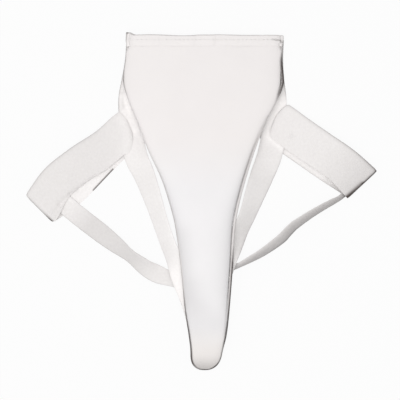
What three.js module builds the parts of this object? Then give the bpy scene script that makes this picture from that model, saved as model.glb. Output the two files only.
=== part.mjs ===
// Groin guard for contact sport: a domed cloth pouch, held by elastic side straps, a waist belt and leg straps.
// It lies on its back, as it would on a table. Millimetres, +Z up out of the pouch's front, +Y towards the waist.
// The origin is on the table, under the middle of the whole guard.
import * as THREE from "three";
import { mergeVertices } from "three/addons/utils/BufferGeometryUtils.js";

// Driving dimensions: webbing as it is sold, cloth walls, and the air between neighbouring pieces.
const BELT = { width: 38, thick: 1.5 };
const SIDE_STRAP = { width: 25, thick: 1.2 };
const LEG_STRAP = { width: 19.5, thick: 1.2 };
const WEBBING_EDGE = 0.4;
const FRONT_WALL = 3;
const BACK_WALL = 1.2;
const BINDING = { width: 3, under: 2, over: 2.4, round: 0.9 };
const GAP = 0.3;

// The hem is a tape folded over the front panel's top edge. Its ends reach out over the edge binding's line, and
// the left-hand end slopes up to a small ear. tailFrom and earFrom are shares of the way out from the middle.
const HEM = { wall: 1, deep: 10, fold: 1.2, tail: 3, tailFrom: 0.9, ear: 3.9, earFrom: 0.58 };

// The pouch's outline ends in a rounded tip: an ellipse from the tip's start to its point.
const POUCH_TOP = 164.3;
const TIP = { start: -152, point: -169.8 };

// Sections of the pouch from its top edge to its tip. centre and half give the outline in plan, rim the height of
// the seam over the table, depth the crown over the seam, and square how boxy the arch across it is (2 is round).
const POUCH = [
  { y: 164.3, centre: 3.2, half: 78.2, rim: 4, depth: 11, square: 5 },
  { y: 143, centre: 2, half: 78.6, rim: 4.4, depth: 12, square: 5 },
  { y: 120.8, centre: 1.2, half: 79.8, rim: 5.2, depth: 13.3, square: 5 },
  { y: 108.8, centre: 1.1, half: 77.4, rim: 5.8, depth: 14.1, square: 5 },
  { y: 93.8, centre: 0.6, half: 71.5, rim: 7, depth: 14.8, square: 4.8 },
  { y: 80.8, centre: -0.1, half: 65.2, rim: 8.4, depth: 15.4, square: 4.6 },
  { y: 50.8, centre: -0.1, half: 53.7, rim: 12.6, depth: 16.2, square: 3.8 },
  { y: 22.8, centre: 1.9, half: 42.7, rim: 17, depth: 16.6, square: 3 },
  { y: -1.2, centre: 2.7, half: 35.4, rim: 20.4, depth: 16.4, square: 2.5 },
  { y: -24.2, centre: 3.5, half: 30.3, rim: 22.8, depth: 16, square: 2.3 },
  { y: -64.2, centre: 5, half: 26.2, rim: 24, depth: 15.2, square: 2.3 },
  { y: -112.2, centre: 5.5, half: 21.9, rim: 18, depth: 13.4, square: 2.4 },
  { y: -135.2, centre: 5.6, half: 18.5, rim: 11.6, depth: 12, square: 2.4 },
  { y: -152, centre: 4.9, half: 15.3, rim: 6.2, depth: 10.5, square: 2.3 },
  { y: -169.8, centre: 2.8, half: 15.3, rim: 2.1, depth: 9, square: 2.2 },
];

// Side straps, from the pouch's top corners down to where they are sewn under it. x, y and z place the middle of
// the strap, and roll tips its width, in degrees, so that the edge next to the pouch stands higher.
const SIDE_STRAP_LEFT = [
  { x: -63, y: 161.5, z: 0.7, roll: 0 },
  { x: -64.4, y: 140.8, z: 0.9, roll: 0 },
  { x: -67.6, y: 120.8, z: 2, roll: 0 },
  { x: -71, y: 101.5, z: 2.5, roll: 0 },
  { x: -69.4, y: 70.8, z: 2.5, roll: 0 },
  { x: -65.6, y: 45.8, z: 3.8, roll: 5 },
  { x: -57.2, y: 25.8, z: 6.8, roll: 28 },
  { x: -49.4, y: 5.8, z: 9.4, roll: 43 },
  { x: -42.6, y: -14.2, z: 10.8, roll: 51 },
  { x: -33.2, y: -40.2, z: 11.4, roll: 54 },
  { x: -26.8, y: -59.2, z: 12, roll: 47 },
  { x: -19.8, y: -75, z: 14.9, roll: 27 },
  { x: -12.8, y: -89, z: 16.8, roll: 9 },
  { x: -7, y: -104, z: 15.3, roll: 1 },
  { x: -3, y: -117, z: 12.9, roll: 0 },
];
const SIDE_STRAP_RIGHT = [
  { x: 69.8, y: 161.5, z: 0.7, roll: 0 },
  { x: 69.1, y: 140.8, z: 0.9, roll: 0 },
  { x: 70.2, y: 120.8, z: 2, roll: 0 },
  { x: 72.5, y: 100.8, z: 2.5, roll: 0 },
  { x: 71.4, y: 70.8, z: 2.5, roll: 0 },
  { x: 68, y: 45.8, z: 3.4, roll: 5 },
  { x: 60.6, y: 25.8, z: 5.6, roll: 20 },
  { x: 53.1, y: 5.8, z: 8.5, roll: 36 },
  { x: 45, y: -15.9, z: 10.6, roll: 49 },
  { x: 38.4, y: -29, z: 10.8, roll: 47 },
  { x: 32, y: -40, z: 13.4, roll: 31 },
  { x: 26.2, y: -50, z: 18.2, roll: 10 },
  { x: 22.8, y: -58, z: 19.6, roll: 2 },
  { x: 18, y: -72, z: 19.4, roll: 0 },
  { x: 15.2, y: -85, z: 18.2, roll: 0 },
];

// Leg straps, from under the belt at the hips to where they are sewn under the pouch. roll lifts the edge on the
// waist's side, and wide is the share of the width left where the strap curls or is gathered into a sewn end.
const LEG_STRAP_LEFT = [
  { x: -148.5, y: 4.8, z: 2.5, roll: 0, wide: 1 },
  { x: -134.2, y: -6.2, z: 2.5, roll: 0, wide: 1 },
  { x: -119.7, y: -17.9, z: 2.2, roll: 2, wide: 1 },
  { x: -104.2, y: -29.8, z: 2.4, roll: 8, wide: 1 },
  { x: -87, y: -43.2, z: 5.6, roll: 30, wide: 1 },
  { x: -71.5, y: -55.3, z: 8.2, roll: 50, wide: 1 },
  { x: -57, y: -66.6, z: 6.2, roll: 35, wide: 1 },
  { x: -45, y: -73.2, z: 3.6, roll: 14, wide: 0.95 },
  { x: -33, y: -77.6, z: 2.6, roll: 0, wide: 0.79 },
  { x: -21.7, y: -80.6, z: 5.8, roll: 0, wide: 0.74 },
  { x: -10, y: -83.2, z: 11.4, roll: 0, wide: 0.74 },
];
const LEG_STRAP_RIGHT = [
  { x: 148, y: 20, z: 3, roll: 0, wide: 0.62 },
  { x: 143, y: 10.9, z: 4.4, roll: 6, wide: 0.51 },
  { x: 138.6, y: 4.2, z: 5.8, roll: 48, wide: 0.62 },
  { x: 131.4, y: -0.8, z: 8.2, roll: 66, wide: 0.79 },
  { x: 119.8, y: -7, z: 9.9, roll: 71, wide: 1 },
  { x: 104.9, y: -15.8, z: 9.7, roll: 68, wide: 1 },
  { x: 90.5, y: -26, z: 9.5, roll: 65, wide: 1 },
  { x: 79.5, y: -37.2, z: 9.5, roll: 65, wide: 1 },
  { x: 61.3, y: -50.4, z: 9.6, roll: 70, wide: 1 },
  { x: 47, y: -58.6, z: 8.9, roll: 72, wide: 0.9 },
  { x: 36, y: -64.2, z: 8.4, roll: 66, wide: 0.79 },
  { x: 26, y: -69, z: 9.6, roll: 35, wide: 0.74 },
  { x: 16, y: -73.4, z: 13, roll: 6, wide: 0.74 },
];

// The waist belt is one band. It runs from its end on the left side strap, out and round a soft fold at the left
// hip, back under itself, behind the pouch, and the same way to its end on the right side strap. lay is the plan
// direction of its waistward edge, in degrees. The ends are sewn on at a slant, which takes a wider cut.
const BELT_FRONT_LEFT = [
  { x: -80.7, y: 67.4, z: 4.8, lay: 98, roll: 0, wide: 1.13 },
  { x: -99.7, y: 51.2, z: 6.2, lay: 108, roll: 5, wide: 1.02 },
  { x: -122.8, y: 36, z: 8.4, lay: 119, roll: 13, wide: 1 },
  { x: -145, y: 17.6, z: 8.7, lay: 128, roll: 9, wide: 1 },
];
const BELT_FRONT_RIGHT = [
  { x: 139.5, y: 36.6, z: 8.9, lay: 48, roll: 5, wide: 1 },
  { x: 119.1, y: 50.6, z: 8.6, lay: 53, roll: 7, wide: 1 },
  { x: 98.3, y: 65, z: 6.4, lay: 56, roll: 4, wide: 1 },
  { x: 78.6, y: 79.6, z: 4.4, lay: 60, roll: 0, wide: 0.99 },
];
// Behind the pouch the belt lies flat on the table.
const BELT_BACK = [
  { x: -134.2, y: 11.6, lay: 135 },
  { x: -97.2, y: 49.1, lay: 133 },
  { x: -66, y: 77, lay: 124 },
  { x: -34, y: 97, lay: 107 },
  { x: 2, y: 103.5, lay: 90 },
  { x: 38, y: 97, lay: 73 },
  { x: 69, y: 78.5, lay: 60 },
  { x: 97, y: 59.3, lay: 55 },
  { x: 130, y: 36.4, lay: 52 },
];
// A hip fold turns half round, across lay, about the middle of its outermost line. corner is the share of its width
// that the fold's outermost line loses, which rounds off the fold's corners.
const HIP_FOLD = { radius: 3.7, steps: 4 };
const HIP_FOLD_LEFT = { x: -162.5, y: -7.9, lay: 135, wide: 1.06, corner: 0.12 };
const HIP_FOLD_RIGHT = { x: 160.5, y: 16.4, lay: 43, wide: 1.06, corner: 0.01 };
// The belt's sewn ends are cut to a curve that goes this far past the last section.
const BELT_NOSE = { left: 14.5, right: 6.5, steps: 5, last: 0.97, round: 0.7 };

// How finely the pieces are cut: steps over the pouch's arch, down its length and round its tip, and the distance
// between sections of webbing.
const ARCH_STEPS = 24;
const PANEL_STEPS = { even: 24, tip: 7 };
const BINDING_STEPS = { even: 26, tip: 7 };
const STRAP_STEP = 7;
const BELT_STEP = 9;

const RADIANS = Math.PI / 180;

// A smooth curve through every column of a table whose rows lie at the given rising places.
function smooth(rows, places) {
  const last = rows.length - 1;
  const slope = (key, i) => {
    const before = Math.max(i - 1, 0);
    const after = Math.min(i + 1, last);
    return (rows[after][key] - rows[before][key]) / (places[after] - places[before]);
  };
  return (place) => {
    const at = THREE.MathUtils.clamp(place, places[0], places[last]);
    const next = Math.max(1, places.findIndex((p) => p >= at));
    const span = places[next] - places[next - 1];
    const t = (at - places[next - 1]) / span;
    const row = {};
    for (const key of Object.keys(rows[0])) {
      row[key] =
        rows[next - 1][key] * (1 + 2 * t) * (1 - t) ** 2 +
        rows[next][key] * t * t * (3 - 2 * t) +
        slope(key, next - 1) * span * t * (1 - t) ** 2 -
        slope(key, next) * span * t * t * (1 - t);
    }
    return row;
  };
}

// A closed solid through rings of points. The first half of a ring runs along one wall and the second half comes
// back along the other, so that each end closes with a strip of faces between the two.
function loft(rings) {
  const count = rings[0].length;
  const index = [];
  const quad = (a, b, c, d) => index.push(a, b, c, a, c, d);
  for (let r = 0; r < rings.length - 1; r++) {
    for (let i = 0; i < count; i++) {
      const j = (i + 1) % count;
      quad(r * count + i, r * count + j, (r + 1) * count + j, (r + 1) * count + i);
    }
  }
  const end = (rings.length - 1) * count;
  for (let i = 0; i < count / 2 - 1; i++) {
    const across = count - 1 - i;
    quad(across, across - 1, i + 1, i);
    quad(end + i, end + i + 1, end + across - 1, end + across);
  }
  const geometry = mergeVertices(new THREE.BufferGeometry().setFromPoints(rings.flat()).setIndex(index), 1e-3);
  const faces = [];
  for (let i = 0; i < geometry.index.count; i += 3) {
    const [a, b, c] = [0, 1, 2].map((k) => geometry.index.getX(i + k));
    if (a !== b && b !== c && c !== a) faces.push([a, b, c]);
  }
  const corner = (i) => new THREE.Vector3().fromBufferAttribute(geometry.attributes.position, i);
  const volume = faces.reduce((sum, [a, b, c]) => sum + corner(a).dot(corner(b).cross(corner(c))), 0);
  const outward = volume > 0 ? faces : faces.map(([a, b, c]) => [a, c, b]);
  geometry.setIndex(outward.flat());
  geometry.computeVertexNormals();
  return geometry;
}

// Webbing through a table of sections: a flat strip with slightly rounded edges, nowhere below the table. hand says
// on which side of its run the strap's roll lifts it (1 is the left), where the table gives no lay of its own.
function webbing(rows, { width, thick }, step, hand) {
  const places = [0];
  rows.slice(1).forEach((row, i) => {
    const before = rows[i];
    places.push(places[i] + Math.hypot(row.x - before.x, row.y - before.y, row.z - before.z));
  });
  const along = smooth(rows, places);
  const stops = [0];
  places.slice(1).forEach((place, i) => {
    const steps = Math.max(1, Math.round((place - places[i]) / step));
    for (let k = 1; k <= steps; k++) stops.push(THREE.MathUtils.lerp(places[i], place, k / steps));
  });
  const middle = ({ x, y, z }) => new THREE.Vector3(x, y, z);
  const reach = 0.05;
  return loft(
    stops.map((stop) => {
      const row = along(stop);
      const half = (width / 2) * (row.wide ?? 1);
      const face = thick / 2;
      const roll = row.roll * RADIANS;
      row.z = Math.max(row.z, face * Math.cos(roll) + half * Math.abs(Math.sin(roll)));
      const run = middle(along(stop + reach)).sub(middle(along(stop - reach))).normalize();
      const lay = row.lay === undefined ? Math.atan2(run.y, run.x) + (hand * Math.PI) / 2 : row.lay * RADIANS;
      const across = new THREE.Vector3(
        Math.cos(lay) * Math.cos(roll),
        Math.sin(lay) * Math.cos(roll),
        Math.sin(roll),
      );
      const up = new THREE.Vector3().crossVectors(run, across).normalize();
      const soft = Math.min(WEBBING_EDGE, half / 2);
      const wall = [
        [-half, face / 2],
        [-half + soft, face],
        [half - soft, face],
        [half, face / 2],
      ];
      const back = wall.map(([u, v]) => [u, -v]).reverse();
      return [...wall, ...back].map(([u, v]) => middle(row).addScaledVector(across, u).addScaledVector(up, v));
    }),
  );
}

// The pouch's section at a height y, with its tip rounded off. inset takes the outline inwards, square to its edge.
const pouchRow = smooth(
  [...POUCH].reverse(),
  POUCH.map((row) => row.y).reverse(),
);
function pouchAt(y, inset) {
  const row = pouchRow(y);
  const slant = Math.hypot(1, pouchRow(y + 0.5).half - pouchRow(y - 0.5).half);
  const past = Math.max(0, TIP.start - y) / (TIP.start - TIP.point - inset);
  const taper = Math.sqrt(Math.max(0, 1 - past * past));
  row.half = Math.max(0, row.half - inset * slant) * taper;
  row.depth *= taper;
  return row;
}

// A point of the front panel, or of a skin that lies `inset` under its outer face. turn goes over the arch from
// the right-hand seam (0) to the left-hand seam (1).
const PANEL_INSET = BINDING.width + 2 * GAP;
function panelPoint(y, turn, inset) {
  const row = pouchAt(y, PANEL_INSET + inset);
  const angle = Math.PI * turn;
  const power = 2 / row.square;
  const reach = Math.sign(Math.cos(angle)) * Math.abs(Math.cos(angle)) ** power;
  const crown = Math.max(0, row.depth - inset) * Math.max(0, Math.sin(angle)) ** power;
  return new THREE.Vector3(row.centre + row.half * reach, y, row.rim + GAP / 2 + crown);
}

// Heights of the pouch's sections: even down to the tip, then closer as it rounds off to `point`.
function pouchStations(top, point, { even, tip }) {
  const stations = [];
  for (let i = 0; i < even; i++) stations.push(THREE.MathUtils.lerp(top, TIP.start, i / even));
  for (let i = 0; i <= tip; i++) {
    stations.push(THREE.MathUtils.lerp(TIP.start, point, Math.sin((Math.PI / 2) * (i / tip))));
  }
  return stations;
}

// The front panel: a padded cloth arch, open at the waist end and hollow behind.
function frontPanel() {
  const turns = Array.from({ length: ARCH_STEPS + 1 }, (_, i) => i / ARCH_STEPS);
  const stations = pouchStations(POUCH_TOP, TIP.point + PANEL_INSET, PANEL_STEPS);
  return loft(
    stations.map((y) => [
      ...turns.map((turn) => panelPoint(y, turn, 0)),
      ...turns.map((turn) => panelPoint(y, turn, FRONT_WALL)).reverse(),
    ]),
  );
}

// The back panel: one flat cloth that follows the seam and closes the pocket behind the front panel.
function backPanel() {
  const shares = [-1, -0.5, 0, 0.5, 1];
  const stations = pouchStations(POUCH_TOP, TIP.point + PANEL_INSET, PANEL_STEPS);
  return loft(
    stations.map((y) => {
      const { centre, half, rim } = pouchAt(y, PANEL_INSET);
      const sheet = (z) => shares.map((share) => new THREE.Vector3(centre + half * share, y, z));
      return [...sheet(rim - GAP / 2), ...sheet(rim - GAP / 2 - BACK_WALL).reverse()];
    }),
  );
}

// The edge binding: a tape folded round the seam, from under the hem on one side, round the tip, to the other.
function edgeBinding() {
  const { width, under, over, round } = BINDING;
  const section = [
    [-width, -under],
    [-round, -under],
    [0, -under + round],
    [0, over - round],
    [-round, over],
    [-width, over],
  ];
  const stations = pouchStations(POUCH_TOP - HEM.deep - GAP, TIP.point, BINDING_STEPS);
  const edge = (side) =>
    stations.map((y) => {
      const { centre, half, rim } = pouchAt(y, 0);
      return new THREE.Vector3(centre + side * half, y, rim);
    });
  const line = [...edge(-1), ...edge(1).reverse().slice(1)];
  return loft(
    line.map((point, i) => {
      const run = line[Math.min(i + 1, line.length - 1)].clone().sub(line[Math.max(i - 1, 0)]);
      const outward = new THREE.Vector3(run.y, -run.x, 0).normalize();
      return section.map(([out, up]) => point.clone().addScaledVector(outward, out).setZ(point.z + up));
    }),
  );
}

// The hem: both walls of the folded tape, with the front panel's top edge between them.
function topHem() {
  const { wall, deep, fold, tail, tailFrom, ear, earFrom } = HEM;
  const bottom = POUCH_TOP - deep;
  const inside = POUCH_TOP + GAP;
  return loft(
    Array.from({ length: ARCH_STEPS + 1 }, (_, i) => {
      const turn = i / ARCH_STEPS;
      const out = 2 * turn - 1;
      const outer = wall + tail * THREE.MathUtils.smoothstep(Math.abs(out), tailFrom, 1);
      const rise = (ear * Math.max(0, out - earFrom)) / (1 - earFrom);
      const lifted = (point) => point.setY(inside + fold + rise);
      return [
        panelPoint(bottom, turn, -GAP - outer),
        lifted(panelPoint(inside, turn, -GAP - outer)),
        lifted(panelPoint(inside, turn, FRONT_WALL + GAP + wall)),
        panelPoint(bottom, turn, FRONT_WALL + GAP + wall),
        panelPoint(bottom, turn, FRONT_WALL + GAP),
        panelPoint(inside, turn, FRONT_WALL + GAP),
        panelPoint(inside, turn, -GAP),
        panelPoint(bottom, turn, -GAP),
      ];
    }),
  );
}

// The sections of a hip fold, from the upper run of the belt down to the lower one. side is 1 where the fold lies
// to the left of the way that its waistward edge points.
function hipFold({ x, y, lay, wide, corner }, side) {
  const { radius, steps } = HIP_FOLD;
  const outward = (lay + side * 90) * RADIANS;
  return Array.from({ length: steps + 1 }, (_, i) => {
    const turn = Math.PI * (0.5 - i / steps);
    const out = radius * (Math.cos(turn) - 1);
    return {
      x: x + Math.cos(outward) * out,
      y: y + Math.sin(outward) * out,
      z: BELT.thick / 2 + radius * (1 + Math.sin(turn)),
      lay,
      roll: 0,
      wide: wide * (1 - corner * Math.cos(turn) ** 2),
    };
  });
}

// The curved sewn end of the belt: sections that narrow as they go on past the end of its run.
function beltNose(end, before, length) {
  const { steps, last, round } = BELT_NOSE;
  const run = new THREE.Vector2(end.x - before.x, end.y - before.y).normalize();
  return Array.from({ length: steps }, (_, i) => {
    const share = last * Math.sin((Math.PI / 2) * ((i + 1) / steps));
    return {
      ...end,
      x: end.x + run.x * length * share,
      y: end.y + run.y * length * share,
      wide: end.wide * (1 - share * share) ** round,
    };
  });
}

function waistBelt() {
  const [leftEnd, leftNext] = BELT_FRONT_LEFT;
  const [rightNext, rightEnd] = BELT_FRONT_RIGHT.slice(-2);
  const rows = [
    ...beltNose(leftEnd, leftNext, BELT_NOSE.left).reverse(),
    ...BELT_FRONT_LEFT,
    ...hipFold(HIP_FOLD_LEFT, 1),
    ...BELT_BACK.map((row) => ({ ...row, z: BELT.thick / 2, roll: 0, wide: 1 })),
    ...hipFold(HIP_FOLD_RIGHT, -1).reverse(),
    ...BELT_FRONT_RIGHT,
    ...beltNose(rightEnd, rightNext, BELT_NOSE.right),
  ];
  return webbing(rows, BELT, BELT_STEP);
}

// Cloth and webbing: off-white, with no shine.
const panelCloth = new THREE.MeshStandardMaterial({ color: 0xf1efed, roughness: 0.85, metalness: 0 });
const liningCloth = new THREE.MeshStandardMaterial({ color: 0xeceae8, roughness: 0.9, metalness: 0 });
const tape = new THREE.MeshStandardMaterial({ color: 0xf0eeec, roughness: 0.85, metalness: 0 });
const elastic = new THREE.MeshStandardMaterial({ color: 0xebe7e6, roughness: 0.9, metalness: 0 });

const guard = new THREE.Group();
function piece(name, geometry, material) {
  const mesh = new THREE.Mesh(geometry, material);
  mesh.name = name;
  guard.add(mesh);
}

piece("front_panel", frontPanel(), panelCloth);
piece("back_panel", backPanel(), liningCloth);
piece("edge_binding", edgeBinding(), tape);
piece("top_hem", topHem(), tape);
piece("side_strap_left", webbing(SIDE_STRAP_LEFT, SIDE_STRAP, STRAP_STEP, 1), elastic);
piece("side_strap_right", webbing(SIDE_STRAP_RIGHT, SIDE_STRAP, STRAP_STEP, -1), elastic);
piece("waist_belt", waistBelt(), elastic);
piece("leg_strap_left", webbing(LEG_STRAP_LEFT, LEG_STRAP, STRAP_STEP, 1), elastic);
piece("leg_strap_right", webbing(LEG_STRAP_RIGHT, LEG_STRAP, STRAP_STEP, -1), elastic);

export default guard;
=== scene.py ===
# A groin guard for contact sport: a domed cloth pouch held by elastic straps, lying front up on a pale table.
# Tables and sizes are in millimetres, and every mesh is built in metres in the frame of the solids.
import math

import bmesh
import bpy
import numpy as np
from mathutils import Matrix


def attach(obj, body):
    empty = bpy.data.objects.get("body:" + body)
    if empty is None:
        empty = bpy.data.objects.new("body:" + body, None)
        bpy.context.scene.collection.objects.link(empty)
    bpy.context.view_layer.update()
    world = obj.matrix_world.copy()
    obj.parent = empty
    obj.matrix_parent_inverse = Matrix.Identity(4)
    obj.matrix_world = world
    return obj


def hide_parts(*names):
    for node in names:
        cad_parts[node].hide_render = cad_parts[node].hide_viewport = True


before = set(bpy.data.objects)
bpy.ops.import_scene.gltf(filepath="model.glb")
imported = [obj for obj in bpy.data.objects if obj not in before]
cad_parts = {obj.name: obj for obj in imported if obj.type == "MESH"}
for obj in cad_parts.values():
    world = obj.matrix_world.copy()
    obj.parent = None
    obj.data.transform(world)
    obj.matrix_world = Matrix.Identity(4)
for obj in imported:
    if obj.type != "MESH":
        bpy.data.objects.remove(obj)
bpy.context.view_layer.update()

# Front panel. One piece of smooth white cloth over a thin pad, pressed into a dome that narrows to a tip.
# The hem holds its top edge and the bound seam the rest of it, and their stitches pull small puckers into it.
MM = 0.001
TINY = 1e-9
POUCH_TOP = 164.3
HEM_LOW = 154.3
TIP_START = -152.0
TIP_POINT = -169.8
TIP_SQUARE = 2.4
SEAM_GAP = 0.3
BINDING_WIDTH = 3.0
PANEL_INSET = BINDING_WIDTH + 2 * SEAM_GAP
PANEL_WALL = 3.0
PANEL_ROWS = {"count": 210, "crowding": 0.9}
PANEL_TURNS = {"count": 120, "crowding": 0.4, "fine": 1500, "rising": 1e-6}
OUTLINE = {"side": 600, "tip": 200, "every": 3}
SEAM_PUCKER = {"deep": 0.3, "reach": 5, "pitch": 8.5, "calm": 1.5}
HEM_GATHER = {"deep": 0.15, "reach": 7, "pitch": 7.0}
SLACK = {"deep": 0.5, "from": 4, "full": 25, "slant": 0.3, "across": 62, "along": 95}
DENT = {"x": -6.0, "y": -124.0, "wide": 7.0, "long": 12.0, "deep": 0.9}
# Sections of the pouch from its tip to its top: place, middle, half width, seam height, crown and squareness.
POUCH = [
    (-169.8, 2.9, 15.6, 2.1, 9.0, 3.0),
    (-152.0, 4.75, 16.05, 6.2, 10.5, 4.6),
    (-135.2, 5.9, 18.9, 11.6, 12.0, 5.2),
    (-112.2, 5.55, 21.95, 18.0, 13.4, 3.2),
    (-64.2, 5.0, 26.2, 24.0, 15.2, 2.3),
    (-24.2, 3.5, 30.3, 22.8, 16.0, 2.6),
    (-1.2, 2.7, 35.4, 20.4, 16.4, 3.4),
    (22.8, 1.9, 42.7, 17.0, 16.6, 4.8),
    (50.8, -0.1, 53.7, 12.6, 16.2, 7.5),
    (80.8, -0.1, 65.2, 8.4, 15.4, 10.0),
    (93.8, 0.6, 71.5, 7.0, 14.8, 10.0),
    (108.8, 1.1, 77.4, 5.8, 14.1, 8.0),
    (120.8, 1.2, 79.8, 5.2, 13.3, 7.5),
    (143.0, 2.0, 78.6, 4.4, 12.0, 7.5),
    (164.3, 3.2, 78.2, 4.0, 11.0, 7.5),
]
# Down each side, by place: how far the padded panel hangs out over its binding, how dark its edge is painted
# as shade there, how far in that shade goes, and how dark the groove beside the binding is painted as shade.
EDGE_LEFT = [
    (-169.8, 3.3, 1.0, 1.8, 0.0),
    (-168.3, 3.3, 0.75, 1.5, 0.0),
    (-165.5, 3.3, 0.7, 1.4, 0.0),
    (-162.5, 3.2, 1.0, 1.9, 0.0),
    (-155.0, 3.2, 1.0, 2.0, 0.0),
    (-130.0, 3.1, 1.0, 1.8, 0.0),
    (-100.0, 2.8, 0.8, 1.1, 0.0),
    (-85.0, 2.8, 0.45, 0.9, 0.0),
    (-65.0, 2.8, 0.34, 0.9, 0.0),
    (-30.0, 2.8, 0.3, 0.9, 0.0),
    (20.0, 2.8, 0.08, 0.9, 0.0),
    (50.0, 2.9, 0.02, 0.9, 0.0),
    (104.0, 3.2, 0.05, 0.9, 0.0),
    (110.0, 3.2, 0.5, 0.9, 0.0),
    (121.0, 3.2, 0.9, 0.9, 0.0),
    (127.0, 3.2, 0.55, 0.9, 0.0),
    (131.0, 3.2, 0.3, 0.9, 0.0),
    (141.0, 3.2, 0.55, 0.9, 0.0),
    (147.0, 3.2, 0.3, 0.9, 0.0),
    (151.0, 3.2, 0.45, 0.9, 0.0),
    (154.0, 0.0, 0.45, 0.9, 0.0),
]
EDGE_RIGHT = [
    (-169.8, 3.3, 1.0, 1.8, 0.0),
    (-165.0, 3.3, 1.0, 1.8, 0.0),
    (-161.0, 3.2, 0.9, 1.6, 0.0),
    (-158.0, 3.2, 0.75, 1.4, 0.0),
    (-147.0, 3.2, 0.75, 1.5, 0.0),
    (-140.0, 3.2, 1.0, 2.1, 0.0),
    (-130.0, 3.1, 1.0, 2.4, 0.1),
    (-118.0, 2.6, 1.0, 1.9, 0.2),
    (-105.0, 1.6, 1.0, 1.6, 0.3),
    (-90.0, 0.8, 1.0, 1.7, 0.42),
    (-62.0, 0.6, 1.0, 1.9, 0.5),
    (-45.0, 0.6, 0.25, 2.0, 0.5),
    (-10.0, 0.6, 0.05, 1.5, 0.4),
    (30.0, 0.6, 0.03, 1.5, 0.32),
    (52.0, 1.0, 0.03, 1.5, 0.2),
    (66.0, 1.8, 0.03, 1.2, 0.1),
    (90.0, 3.0, 0.15, 0.9, 0.0),
    (100.0, 3.2, 0.1, 1.2, 0.0),
    (108.0, 2.5, 0.85, 2.3, 0.0),
    (121.0, 1.0, 1.0, 3.0, 0.0),
    (135.0, 1.7, 1.0, 2.9, 0.0),
    (144.0, 2.8, 0.8, 2.0, 0.0),
    (151.0, 3.2, 0.3, 0.9, 0.0),
    (154.0, 0.0, 0.3, 0.9, 0.0),
]
# The panel comes to hang out between these heights over its seam. Its rim is painted dark as shade where it
# hangs out enough, no further in than the reach, and not on the top of the dome. The groove line is painted
# shade.
OVERHANG_HEIGHTS = (2.6, 4.2)
RIM_SHADE = {"overhang": (0.6, 2.4), "reach": 2.5, "steep": 4, "height": (0.75, 1.0)}
PANEL_GROOVE_SHADE = {"in": 0.4, "half": 0.6}
ANY_HEIGHT = (0, 60)
# Darker streaks down the narrow part, and painted shade over the tip where it turns down to the table.
PANEL_STREAKS_AND_SHADE = [
    {"from": (-10, -85), "to": (-8, -130), "half": 11, "much": 0.055},
    {"from": (-4, -105), "to": (14, -120), "half": 10, "much": 0.045},
    {"from": (-19, -35), "to": (-14, -95), "half": 9, "much": 0.055},
    {"from": (-6, -172), "to": (12, -172), "half": 13, "much": 0.36},
]
# The cloth's tint by place: warm over the pocket, cooler down the narrow part and yellowed at the tip.
PANEL_WARM = (0.802, 0.770, 0.762)
PANEL_COOL = (0.785, 0.771, 0.777)
PANEL_YELLOWED = (0.814, 0.781, 0.761)
PANEL_TINTS = [(-150.0, PANEL_YELLOWED), (-125.0, PANEL_COOL), (10.0, PANEL_COOL), (60.0, PANEL_WARM)]
PANEL_SHADED = 0.955
# The brown-grey towards which stains and painted shade darken every cloth.
SOIL_AND_SHADE_TINT = (0.062, 0.045, 0.04, 1)
CLOTH_SHINE = {"sheen_rough": 0.5, "specular": 0.3}
WEAVE = {"fuzz_detail": 4.0, "patch": 34.0, "rough_patch": 9.0, "rough_spread": 0.12}


def smooth(table, places):
    """A smooth curve through every column of a table whose rows lie at the given rising places."""
    table = np.array(table, float)
    places = np.array(places, float)
    before = np.maximum(np.arange(len(places)) - 1, 0)
    after = np.minimum(np.arange(len(places)) + 1, len(places) - 1)
    slope = (table[after] - table[before]) / (places[after] - places[before])[:, None]

    def row_at(place):
        place = np.clip(place, places[0], places[-1])
        k = np.clip(np.searchsorted(places, place), 1, len(places) - 1)
        span = (places[k] - places[k - 1])[..., None]
        t = (place - places[k - 1])[..., None] / span
        return (
            table[k - 1] * (1 + 2 * t) * (1 - t) ** 2
            + table[k] * t * t * (3 - 2 * t)
            + slope[k - 1] * span * t * (1 - t) ** 2
            - slope[k] * span * t * t * (1 - t)
        )

    return row_at


pouch_row = smooth(POUCH, [row[0] for row in POUCH])


def pouch_at(y, inset):
    """The pouch's section at y, with its tip rounded off and its sides moved in by the inset.
    Gives its middle, half width, seam height, crown and squareness."""
    row = pouch_row(y)
    widening = pouch_row(y + 0.5)[..., 2] - pouch_row(y - 0.5)[..., 2]
    past = np.maximum(0, TIP_START - y) / (TIP_START - TIP_POINT - inset)
    taper = np.maximum(0, 1 - past**TIP_SQUARE) ** (1 / TIP_SQUARE)
    half = np.maximum(0, row[..., 2] - inset * np.hypot(1, widening)) * taper
    return row[..., 1], half, row[..., 3], row[..., 4] * taper, row[..., 5]


def panel_point(y, turn, inset):
    """A point of the panel's face, or of a skin so far under it.
    turn goes over the arch from the right seam to the left one."""
    y, turn, inset = np.broadcast_arrays(y, turn, inset)
    middle, half, rim, crown, square = pouch_at(y, PANEL_INSET + inset)
    cos = np.cos(np.pi * turn)
    sin = np.maximum(0, np.sin(np.pi * turn))
    x = middle + half * np.sign(cos) * np.abs(cos) ** (2 / square)
    z = rim + SEAM_GAP / 2 + np.maximum(0, crown - inset) * sin ** (2 / square)
    return np.stack([x, y, z], -1)


def edge_at(y, on_right):
    """The edge tables' columns at y: overhang, painted edge shade, its reach and the groove's painted shade.
    """
    left, right = np.array(EDGE_LEFT).T, np.array(EDGE_RIGHT).T
    return [
        np.where(on_right, np.interp(y, right[0], right_column), np.interp(y, left[0], left_column))
        for left_column, right_column in zip(left[1:], right[1:])
    ]


def unit(vectors):
    return vectors / np.maximum(np.linalg.norm(vectors, axis=-1, keepdims=True), TINY)


def run_length(points, axis):
    """Distance along a grid's lines from their start."""
    steps = np.linalg.norm(np.diff(points, axis=axis), axis=-1)
    start = np.zeros_like(np.take(steps, [0], axis=axis))
    return np.concatenate([start, np.cumsum(steps, axis=axis)], axis=axis)


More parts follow.
